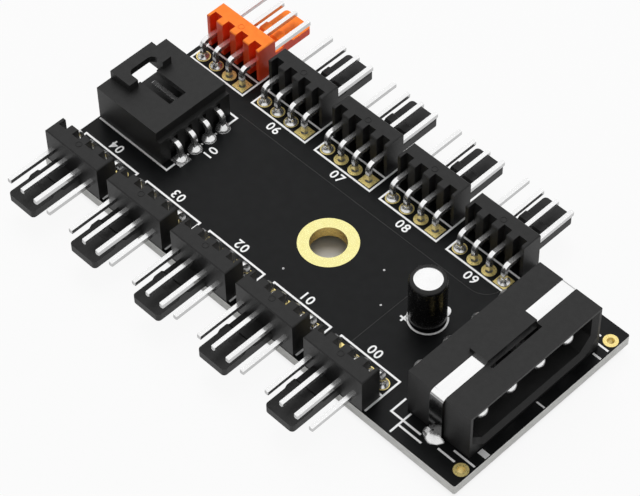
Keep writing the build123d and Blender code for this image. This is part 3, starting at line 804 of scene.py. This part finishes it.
def ink_number(text, x, y, turn):
    """Prints a short number centred on a point, turned about the vertical."""
    curve = bpy.data.curves.new("number", "FONT")
    curve.body = text
    curve.size = NUMBER_SIZE
    curve.align_x = "CENTER"
    curve.align_y = "CENTER"
    curve.space_character = NUMBER_SPACING
    curve.offset = NUMBER_WEIGHT
    curve.extrude = (INK_HEIGHT + INK_SINK) / 2
    curve.resolution_u = NUMBER_STEPS
    writer = bpy.data.objects.new("number", curve)
    bpy.context.scene.collection.objects.link(writer)
    view = bpy.context.evaluated_depsgraph_get()
    mesh = bpy.data.meshes.new_from_object(writer.evaluated_get(view))
    bpy.data.objects.remove(writer)
    level = BOARD_TOP + (INK_HEIGHT - INK_SINK) / 2
    mesh.transform(Matrix.Translation((x, y, level)) @ Matrix.Rotation(turn, 4, "Z"))
    printed.from_mesh(mesh)
    bpy.data.meshes.remove(mesh)


for port in range(PORTS):
    number_x, number_y = print_point(port, NUMBER_ALONG, NUMBER_OUTWARD)
    half_turn = 0 if facing[port] > 0 else math.pi
    ink_number(f"{port:02d}", number_x, number_y, half_turn)
ink_number(f"{PORTS}", SIGNAL_NUMBER.x, SIGNAL_NUMBER.y, math.pi / 2)

bmesh.ops.remove_doubles(printed, verts=printed.verts, dist=INK_MERGE)
printed_mesh = bpy.data.meshes.new("printed_marks")
printed.to_mesh(printed_mesh)
printed.free()
add_piece("printed_marks", printed_mesh, ink)
print("printed marks, faces:", len(printed_mesh.polygons))

# %% [markdown]
# ## Lines that follow a path
#
# The capacitor's ring is ink too, and under the lacquer the copper's edges show as faint ridges. Both
# are a small section swept along a path, which is what Geometry Nodes is good at. The tree takes a
# mesh made of edges, turns it into curves, sweeps a rectangle along them and sets the material.
# The curves' normals are held level, so the rectangle never twists.

# %% Helpers for node trees
def new_tree(name, inputs):
    """An empty Geometry Nodes tree with named inputs."""
    tree = bpy.data.node_groups.new(name, "GeometryNodeTree")
    tree.interface.new_socket("Geometry", in_out="INPUT", socket_type="NodeSocketGeometry")
    for label, kind in inputs.items():
        tree.interface.new_socket(label, in_out="INPUT", socket_type=kind)
    tree.interface.new_socket("Geometry", in_out="OUTPUT", socket_type="NodeSocketGeometry")
    return tree


def run_tree(name, tree, seed_mesh, settings):
    """Runs a tree on a seed mesh and gives back what it made as a plain mesh."""
    carrier = bpy.data.objects.new(name, seed_mesh)
    bpy.context.scene.collection.objects.link(carrier)
    modifier = carrier.modifiers.new("made", "NODES")
    modifier.node_group = tree
    for item in tree.interface.items_tree:
        if item.in_out == "INPUT" and item.name in settings:
            modifier[item.identifier] = settings[item.name]
    view = bpy.context.evaluated_depsgraph_get()
    made = bpy.data.meshes.new_from_object(carrier.evaluated_get(view))
    carrier.modifiers.remove(modifier)
    bpy.data.objects.remove(carrier)
    made.name = name
    return made


def seed_points(points):
    """A mesh of loose points for a tree to build on."""
    mesh = bpy.data.meshes.new("seed")
    mesh.from_pydata(points, [], [])
    return mesh


def seed_path(points):
    """A mesh of edges that joins the points in order."""
    edges = [(index, index + 1) for index in range(len(points) - 1)]
    mesh = bpy.data.meshes.new("seed")
    mesh.from_pydata(points, edges, [])
    return mesh


print("tree helpers ready")

# %% Sweep a strip along a path
strip_tree = new_tree("strip", {
    "Width": "NodeSocketFloat",
    "Height": "NodeSocketFloat",
    "Finish": "NodeSocketMaterial",
})
strip_in = strip_tree.nodes.new("NodeGroupInput")
strip_out = strip_tree.nodes.new("NodeGroupOutput")
as_curve = strip_tree.nodes.new("GeometryNodeMeshToCurve")
level_normal = strip_tree.nodes.new("GeometryNodeSetCurveNormal")
level_normal.mode = "Z_UP"
section = strip_tree.nodes.new("GeometryNodeCurvePrimitiveQuadrilateral")
sweep = strip_tree.nodes.new("GeometryNodeCurveToMesh")
sweep.inputs["Fill Caps"].default_value = True
strip_realize = strip_tree.nodes.new("GeometryNodeRealizeInstances")
strip_finish = strip_tree.nodes.new("GeometryNodeSetMaterial")
strip_tree.links.new(strip_in.outputs["Geometry"], as_curve.inputs["Mesh"])
strip_tree.links.new(as_curve.outputs["Curve"], level_normal.inputs["Curve"])
strip_tree.links.new(strip_in.outputs["Width"], section.inputs["Width"])
strip_tree.links.new(strip_in.outputs["Height"], section.inputs["Height"])
strip_tree.links.new(level_normal.outputs["Curve"], sweep.inputs["Curve"])
strip_tree.links.new(section.outputs["Curve"], sweep.inputs["Profile Curve"])
strip_tree.links.new(sweep.outputs["Mesh"], strip_realize.inputs["Geometry"])
strip_tree.links.new(strip_realize.outputs["Geometry"], strip_finish.inputs["Geometry"])
strip_tree.links.new(strip_in.outputs["Finish"], strip_finish.inputs["Material"])
strip_tree.links.new(strip_finish.outputs["Geometry"], strip_out.inputs["Geometry"])
print("strip tree nodes:", len(strip_tree.nodes))

# %% [markdown]
# The capacitor's ring is open where a filled crescent marks the negative side. A sweep has one width
# all along, so the crescent is drawn as an outline whose outer side bulges by a sine, and is given a
# thickness. Ring and crescent stand a little off the can's middle, like the rest of the print. The
# ridges are one long line with a rounded turn and one short line across.

# %% The capacitor's ring and the copper ridges
RING_RADIUS = 2.55 * MM
RING_SLIP = Vector((0.28, -0.25, 0)) * MM
RING_STEPS = 72
CRESCENT_BULGE = 0.85 * MM
CRESCENT_FROM = math.radians(48)
CRESCENT_TO = math.radians(96)
RIDGE_WIDTH = 0.16 * MM
RIDGE_HEIGHT = 0.03 * MM
COPPER_Y = 7.2 * MM
COPPER_START = -24.0 * MM
COPPER_TURN = 18.0 * MM
TURN_RADIUS = 3.0 * MM
CROSS_COPPER_X = 13.2 * MM
CROSS_COPPER_LOW = -9.1 * MM
CROSS_COPPER_HIGH = 3.0 * MM
ARC_STEPS = 12


def arc(centre, radius, start, end, steps, level):
    """Points on part of a circle at one level."""
    points = []
    for step in range(steps + 1):
        angle = start + (end - start) * step / steps
        x = centre[0] + radius * math.cos(angle)
        y = centre[1] + radius * math.sin(angle)
        points.append((x, y, level))
    return points


def flat_solid(name, outline):
    """A layer of ink from its outline, whose x and y run anticlockwise."""
    count = len(outline)
    points = [(x, y, BOARD_TOP - INK_SINK) for x, y in outline]
    points += [(x, y, BOARD_TOP + INK_HEIGHT) for x, y in outline]
    faces = [tuple(reversed(range(count))), tuple(range(count, 2 * count))]
    for index in range(count):
        after = (index + 1) % count
        faces.append((index, after, count + after, count + index))
    mesh = bpy.data.meshes.new(name)
    mesh.from_pydata(points, [], faces)
    return mesh


ink_level = BOARD_TOP + (INK_HEIGHT - INK_SINK) / 2
ink_settings = {"Width": LINE, "Height": INK_HEIGHT + INK_SINK, "Finish": ink}
ring_middle = can_middle + RING_SLIP
ring_end = CRESCENT_FROM + math.tau
ring_points = arc(ring_middle, RING_RADIUS, CRESCENT_TO, ring_end, RING_STEPS, ink_level)
ring_mesh = run_tree("capacitor_ring", strip_tree, seed_path(ring_points), ink_settings)
add_piece("capacitor_ring", ring_mesh, ink)

crescent_inside = RING_RADIUS - LINE / 2
inner_points = arc(ring_middle, crescent_inside, CRESCENT_FROM, CRESCENT_TO, ARC_STEPS, 0)
outline = []
for step, (x, y, level) in enumerate(inner_points):
    bulge = 1 + CRESCENT_BULGE / crescent_inside * math.sin(math.pi * step / ARC_STEPS)
    bulged_x = ring_middle.x + (x - ring_middle.x) * bulge
    bulged_y = ring_middle.y + (y - ring_middle.y) * bulge
    outline.append((bulged_x, bulged_y))
outline += [(x, y) for x, y, level in reversed(inner_points[1:-1])]
add_piece("capacitor_crescent", flat_solid("capacitor_crescent", outline), ink)

ridge_level = BOARD_TOP
ridge_settings = {"Width": RIDGE_WIDTH, "Height": RIDGE_HEIGHT, "Finish": raised_lacquer}
turn_centre = (COPPER_TURN, COPPER_Y + TURN_RADIUS)
long_ridge = [(COPPER_START, COPPER_Y, ridge_level)]
long_ridge += arc(turn_centre, TURN_RADIUS, -math.pi / 2, 0, ARC_STEPS, ridge_level)
cross_ridge = [
    (CROSS_COPPER_X, CROSS_COPPER_LOW, ridge_level),
    (CROSS_COPPER_X, CROSS_COPPER_HIGH, ridge_level),
]
for name, points in (("copper_ridge_long", long_ridge), ("copper_ridge_cross", cross_ridge)):
    ridge_mesh = run_tree(name, strip_tree, seed_path(points), ridge_settings)
    add_piece(name, ridge_mesh, raised_lacquer)
print("ridge top above the board in mm:", round(RIDGE_HEIGHT / 2 / MM, 3))

# %% [markdown]
# ## Solder that flowed through
#
# Solder is fed from below and climbs the pin. On some pads it came right through and stands on top as
# a small hollow cone; on the signal header's pads it stands as full mounds. One tree makes both: a
# cone with several rings whose waist is drawn in or pushed out by a sine, placed on every chosen pad
# with a small random turn and scale. A fixed seed gives the same picture each time.

# %% Build the solder tree
CONE_SIDES = 28
CONE_RINGS = 8
SCALE_LOW = (0.90, 0.90, 0.85)
SCALE_HIGH = (1.06, 1.06, 1.12)

solder_tree = new_tree("solder_cones", {
    "Foot Radius": "NodeSocketFloat",
    "Tip Radius": "NodeSocketFloat",
    "Height": "NodeSocketFloat",
    "Hollow": "NodeSocketFloat",
    "Seed": "NodeSocketInt",
    "Finish": "NodeSocketMaterial",
})
cone_in = solder_tree.nodes.new("NodeGroupInput")
cone_out = solder_tree.nodes.new("NodeGroupOutput")
cone = solder_tree.nodes.new("GeometryNodeMeshCone")
cone.inputs["Vertices"].default_value = CONE_SIDES
cone.inputs["Side Segments"].default_value = CONE_RINGS
solder_tree.links.new(cone_in.outputs["Foot Radius"], cone.inputs["Radius Bottom"])
solder_tree.links.new(cone_in.outputs["Tip Radius"], cone.inputs["Radius Top"])
solder_tree.links.new(cone_in.outputs["Height"], cone.inputs["Depth"])


def math_node(tree, operation, first, second):
    """A Math node between two sockets or numbers."""
    node = tree.nodes.new("ShaderNodeMath")
    node.operation = operation
    for index, value in enumerate((first, second)):
        if isinstance(value, (int, float)):
            node.inputs[index].default_value = value
        elif value is not None:
            tree.links.new(value, node.inputs[index])
    return node.outputs[0]


where = solder_tree.nodes.new("GeometryNodeInputPosition")
where_axes = solder_tree.nodes.new("ShaderNodeSeparateXYZ")
solder_tree.links.new(where.outputs[0], where_axes.inputs[0])
climb = math_node(solder_tree, "DIVIDE", where_axes.outputs["Z"], cone_in.outputs["Height"])
swell = math_node(solder_tree, "SINE", math_node(solder_tree, "MULTIPLY", climb, math.pi), None)
hollowed = math_node(solder_tree, "MULTIPLY", swell, cone_in.outputs["Hollow"])
waist = math_node(solder_tree, "SUBTRACT", 1.0, hollowed)
drawn = solder_tree.nodes.new("ShaderNodeCombineXYZ")
for axis in ("X", "Y"):
    narrowed = math_node(solder_tree, "MULTIPLY", where_axes.outputs[axis], waist)
    solder_tree.links.new(narrowed, drawn.inputs[axis])
solder_tree.links.new(where_axes.outputs["Z"], drawn.inputs["Z"])
draw_in = solder_tree.nodes.new("GeometryNodeSetPosition")
solder_tree.links.new(cone.outputs["Mesh"], draw_in.inputs["Geometry"])
solder_tree.links.new(drawn.outputs[0], draw_in.inputs["Position"])

VECTOR_LOW, VECTOR_HIGH, RANDOM_SEED = 0, 1, 8
scales = solder_tree.nodes.new("FunctionNodeRandomValue")
scales.data_type = "FLOAT_VECTOR"
scales.inputs[VECTOR_LOW].default_value = SCALE_LOW
scales.inputs[VECTOR_HIGH].default_value = SCALE_HIGH
turns = solder_tree.nodes.new("FunctionNodeRandomValue")
turns.data_type = "FLOAT_VECTOR"
turns.inputs[VECTOR_LOW].default_value = (0, 0, 0)
turns.inputs[VECTOR_HIGH].default_value = (0, 0, math.tau)
solder_tree.links.new(cone_in.outputs["Seed"], scales.inputs[RANDOM_SEED])
solder_tree.links.new(cone_in.outputs["Seed"], turns.inputs[RANDOM_SEED])
on_pads = solder_tree.nodes.new("GeometryNodeInstanceOnPoints")
solder_tree.links.new(cone_in.outputs["Geometry"], on_pads.inputs["Points"])
solder_tree.links.new(draw_in.outputs["Geometry"], on_pads.inputs["Instance"])
solder_tree.links.new(turns.outputs[0], on_pads.inputs["Rotation"])
solder_tree.links.new(scales.outputs[0], on_pads.inputs["Scale"])
cone_realize = solder_tree.nodes.new("GeometryNodeRealizeInstances")
cone_smooth = solder_tree.nodes.new("GeometryNodeSetShadeSmooth")
cone_finish = solder_tree.nodes.new("GeometryNodeSetMaterial")
solder_tree.links.new(on_pads.outputs["Instances"], cone_realize.inputs["Geometry"])
solder_tree.links.new(cone_realize.outputs["Geometry"], cone_smooth.inputs["Geometry"])
solder_tree.links.new(cone_smooth.outputs["Geometry"], cone_finish.inputs["Geometry"])
solder_tree.links.new(cone_in.outputs["Finish"], cone_finish.inputs["Material"])
solder_tree.links.new(cone_finish.outputs["Geometry"], cone_out.inputs["Geometry"])
print("solder tree nodes:", len(solder_tree.nodes))

# %% [markdown]
# Which pads are filled follows the photograph: the near row's almost all, the far row's only some.
# Every cone starts a little below the pad's face, so that no gap shows under it. The same tree, with
# a negative hollow, swells into the signal header's mounds.

# %% Stand solder on the pads
CONE_SINK = 0.01 * MM
CONE_FOOT = 0.94 * MM
CONE_TIP = 0.42 * MM
CONE_HEIGHT = 0.75 * MM
CONE_HOLLOW = 0.22
MOUND_FOOT = 0.88 * MM
MOUND_TIP = 0.36 * MM
MOUND_HEIGHT = 0.85 * MM
MOUND_BULGE = -0.38
SOLDER_SEED = 7

filled_pins = {
    0: (0, 1, 2), 1: (0, 1, 3), 2: (0, 1, 2), 3: (0, 2, 3), 4: (1, 2, 3),
    5: (0, 1), 6: (0, 1, 2), 7: (0,), 8: (0, 1), 9: (0, 3),
}
cone_points = []
for port, pins in filled_pins.items():
    for pin in pins:
        cone_points.append((*port_point(port, pin_along(pin), 0), PAD_TOP - CONE_SINK))
cone_settings = {
    "Foot Radius": CONE_FOOT, "Tip Radius": CONE_TIP, "Height": CONE_HEIGHT,
    "Hollow": CONE_HOLLOW, "Seed": SOLDER_SEED, "Finish": solder,
}
cones_mesh = run_tree("pad_solder", solder_tree, seed_points(cone_points), cone_settings)
add_piece("pad_solder", cones_mesh, solder)

mound_points = []
for pin in range(PIN_COUNT):
    mound_points.append((signal_pad_x, signal_pad_y + pin_along(pin), PAD_TOP - CONE_SINK))
mound_settings = {
    "Foot Radius": MOUND_FOOT, "Tip Radius": MOUND_TIP, "Height": MOUND_HEIGHT,
    "Hollow": MOUND_BULGE, "Seed": SOLDER_SEED, "Finish": solder,
}
mounds_mesh = run_tree("signal_mounds", solder_tree, seed_points(mound_points), mound_settings)
add_piece("signal_mounds", mounds_mesh, solder)
print("cones:", len(cone_points), "mounds:", len(mound_points))

# %% [markdown]
# The strap's feet were soldered by hand, and each sits in a large lump. In CAD that is a plain tapered
# half disc. Here each lump starts as a sphere made of even triangles, is squashed, pushed in and out
# a little by noise, and cut by two planes: the board's face and the strap's outer face. The cuts are
# closed again so that the lump stays a solid.

# %% Shape the strap's solder lumps
LUMP_RADII = Vector((1.65, 1.45, 0.70)) * MM
LUMP_DETAIL = 4
LUMP_NOISE = 0.16
LUMP_WAVE = 0.9 * MM
strap_low, strap_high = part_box("power_strap")
strap_x = (strap_low.x + strap_high.x) / 2

lumps = bmesh.new()
for side, face_y in ((-1, strap_low.y), (1, strap_high.y)):
    lump = bmesh.new()
    bmesh.ops.create_icosphere(lump, subdivisions=LUMP_DETAIL, radius=1.0)
    for vert in lump.verts:
        point = Vector((vert.co.x * LUMP_RADII.x, vert.co.y * LUMP_RADII.y, vert.co.z * LUMP_RADII.z))
        wave = noise.noise(point / LUMP_WAVE + Vector((side, 0, 0)))
        vert.co = point * (1 + LUMP_NOISE * wave) + Vector((strap_x, face_y, BOARD_TOP))
    for spot, away in (((strap_x, 0, PAD_TOP), (0, 0, 1)), ((strap_x, face_y, 0), (0, side, 0))):
        parts = lump.verts[:] + lump.edges[:] + lump.faces[:]
        cut = bmesh.ops.bisect_plane(lump, geom=parts, plane_co=spot, plane_no=away, clear_inner=True)
        rim = [item for item in cut["geom_cut"] if isinstance(item, bmesh.types.BMEdge)]
        bmesh.ops.contextual_create(lump, geom=rim)
    lump_mesh = bpy.data.meshes.new("lump")
    lump.to_mesh(lump_mesh)
    lump.free()
    lumps.from_mesh(lump_mesh)
    bpy.data.meshes.remove(lump_mesh)
bmesh.ops.recalc_face_normals(lumps, faces=lumps.faces)
lumps_mesh = bpy.data.meshes.new("strap_lumps")
lumps.to_mesh(lumps_mesh)
lumps.free()
lumps_mesh.shade_smooth()
lumps_mesh.set_sharp_from_angle(angle=SMOOTH_ANGLE)
add_piece("strap_lumps", lumps_mesh, solder, ("strap_solder",))
print("strap lumps, faces:", len(lumps_mesh.polygons))

# %% [markdown]
# ## Small rings
#
# A moulding keeps a small ring where a pin pushed it out of the mould, one on top of each header
# block. The bare holes that carry copper through the board leave rings too. Both are a thin torus set
# half into the surface, so one tree places a swept circle on every point it is given.

# %% Build the ring tree
LOOP_STEPS = 24
BEAD_STEPS = 8

ring_tree = new_tree("rings", {
    "Radius": "NodeSocketFloat",
    "Thickness": "NodeSocketFloat",
    "Finish": "NodeSocketMaterial",
})
ring_in = ring_tree.nodes.new("NodeGroupInput")
ring_out = ring_tree.nodes.new("NodeGroupOutput")
loop = ring_tree.nodes.new("GeometryNodeCurvePrimitiveCircle")
loop.inputs["Resolution"].default_value = LOOP_STEPS
bead = ring_tree.nodes.new("GeometryNodeCurvePrimitiveCircle")
bead.inputs["Resolution"].default_value = BEAD_STEPS
torus = ring_tree.nodes.new("GeometryNodeCurveToMesh")
on_points = ring_tree.nodes.new("GeometryNodeInstanceOnPoints")
ring_realize = ring_tree.nodes.new("GeometryNodeRealizeInstances")
ring_smooth = ring_tree.nodes.new("GeometryNodeSetShadeSmooth")
ring_finish = ring_tree.nodes.new("GeometryNodeSetMaterial")
ring_tree.links.new(ring_in.outputs["Radius"], loop.inputs["Radius"])
ring_tree.links.new(ring_in.outputs["Thickness"], bead.inputs["Radius"])
ring_tree.links.new(loop.outputs["Curve"], torus.inputs["Curve"])
ring_tree.links.new(bead.outputs["Curve"], torus.inputs["Profile Curve"])
ring_tree.links.new(ring_in.outputs["Geometry"], on_points.inputs["Points"])
ring_tree.links.new(torus.outputs["Mesh"], on_points.inputs["Instance"])
ring_tree.links.new(on_points.outputs["Instances"], ring_realize.inputs["Geometry"])
ring_tree.links.new(ring_realize.outputs["Geometry"], ring_smooth.inputs["Geometry"])
ring_tree.links.new(ring_smooth.outputs["Geometry"], ring_finish.inputs["Geometry"])
ring_tree.links.new(ring_in.outputs["Finish"], ring_finish.inputs["Material"])
ring_tree.links.new(ring_finish.outputs["Geometry"], ring_out.inputs["Geometry"])
print("ring tree nodes:", len(ring_tree.nodes))

# %% [markdown]
# The headers' rings stand in the middle of each block, a fixed way in from its rear, and the orange
# block's own ring is orange. The three copper holes are read off the photograph.

# %% Place the rings
EJECTOR_FROM_REAR = 1.65 * MM
EJECTOR_RADIUS = 0.42 * MM
EJECTOR_BEAD = 0.06 * MM
VIA_RADIUS = 0.11 * MM
VIA_BEAD = 0.06 * MM
VIA_PLACES = [Vector(place) * MM for place in ((-1.1, -7.0), (8.2, 1.8), (11.8, -2.5))]

near_block_low, near_block_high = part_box("fan_housing_0")
far_block_low, far_block_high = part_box(f"fan_housing_{ORANGE_PORT}")
block_top = near_block_high.z
ejector_y = {-1: near_block_high.y - EJECTOR_FROM_REAR, 1: far_block_low.y + EJECTOR_FROM_REAR}
ejector_points = [(port_x[port], ejector_y[facing[port]], block_top) for port in range(PORTS)]
orange_points = [ejector_points.pop(ORANGE_PORT)]
for slot, points in (("black_plastic", ejector_points), ("orange_plastic", orange_points)):
    name = "ejector_rings_" + slot
    ring_settings = {"Radius": EJECTOR_RADIUS, "Thickness": EJECTOR_BEAD, "Finish": mouldings[slot]}
    rings_mesh = run_tree(name, ring_tree, seed_points(points), ring_settings)
    add_piece(name, rings_mesh, mouldings[slot])

via_points = [(place.x, place.y, BOARD_TOP) for place in VIA_PLACES]
via_settings = {"Radius": VIA_RADIUS, "Thickness": VIA_BEAD, "Finish": solder}
via_mesh = run_tree("via_rings", ring_tree, seed_points(via_points), via_settings)
add_piece("via_rings", via_mesh, solder)
print("ejector rings:", len(ejector_points + orange_points), "via rings:", len(via_points))
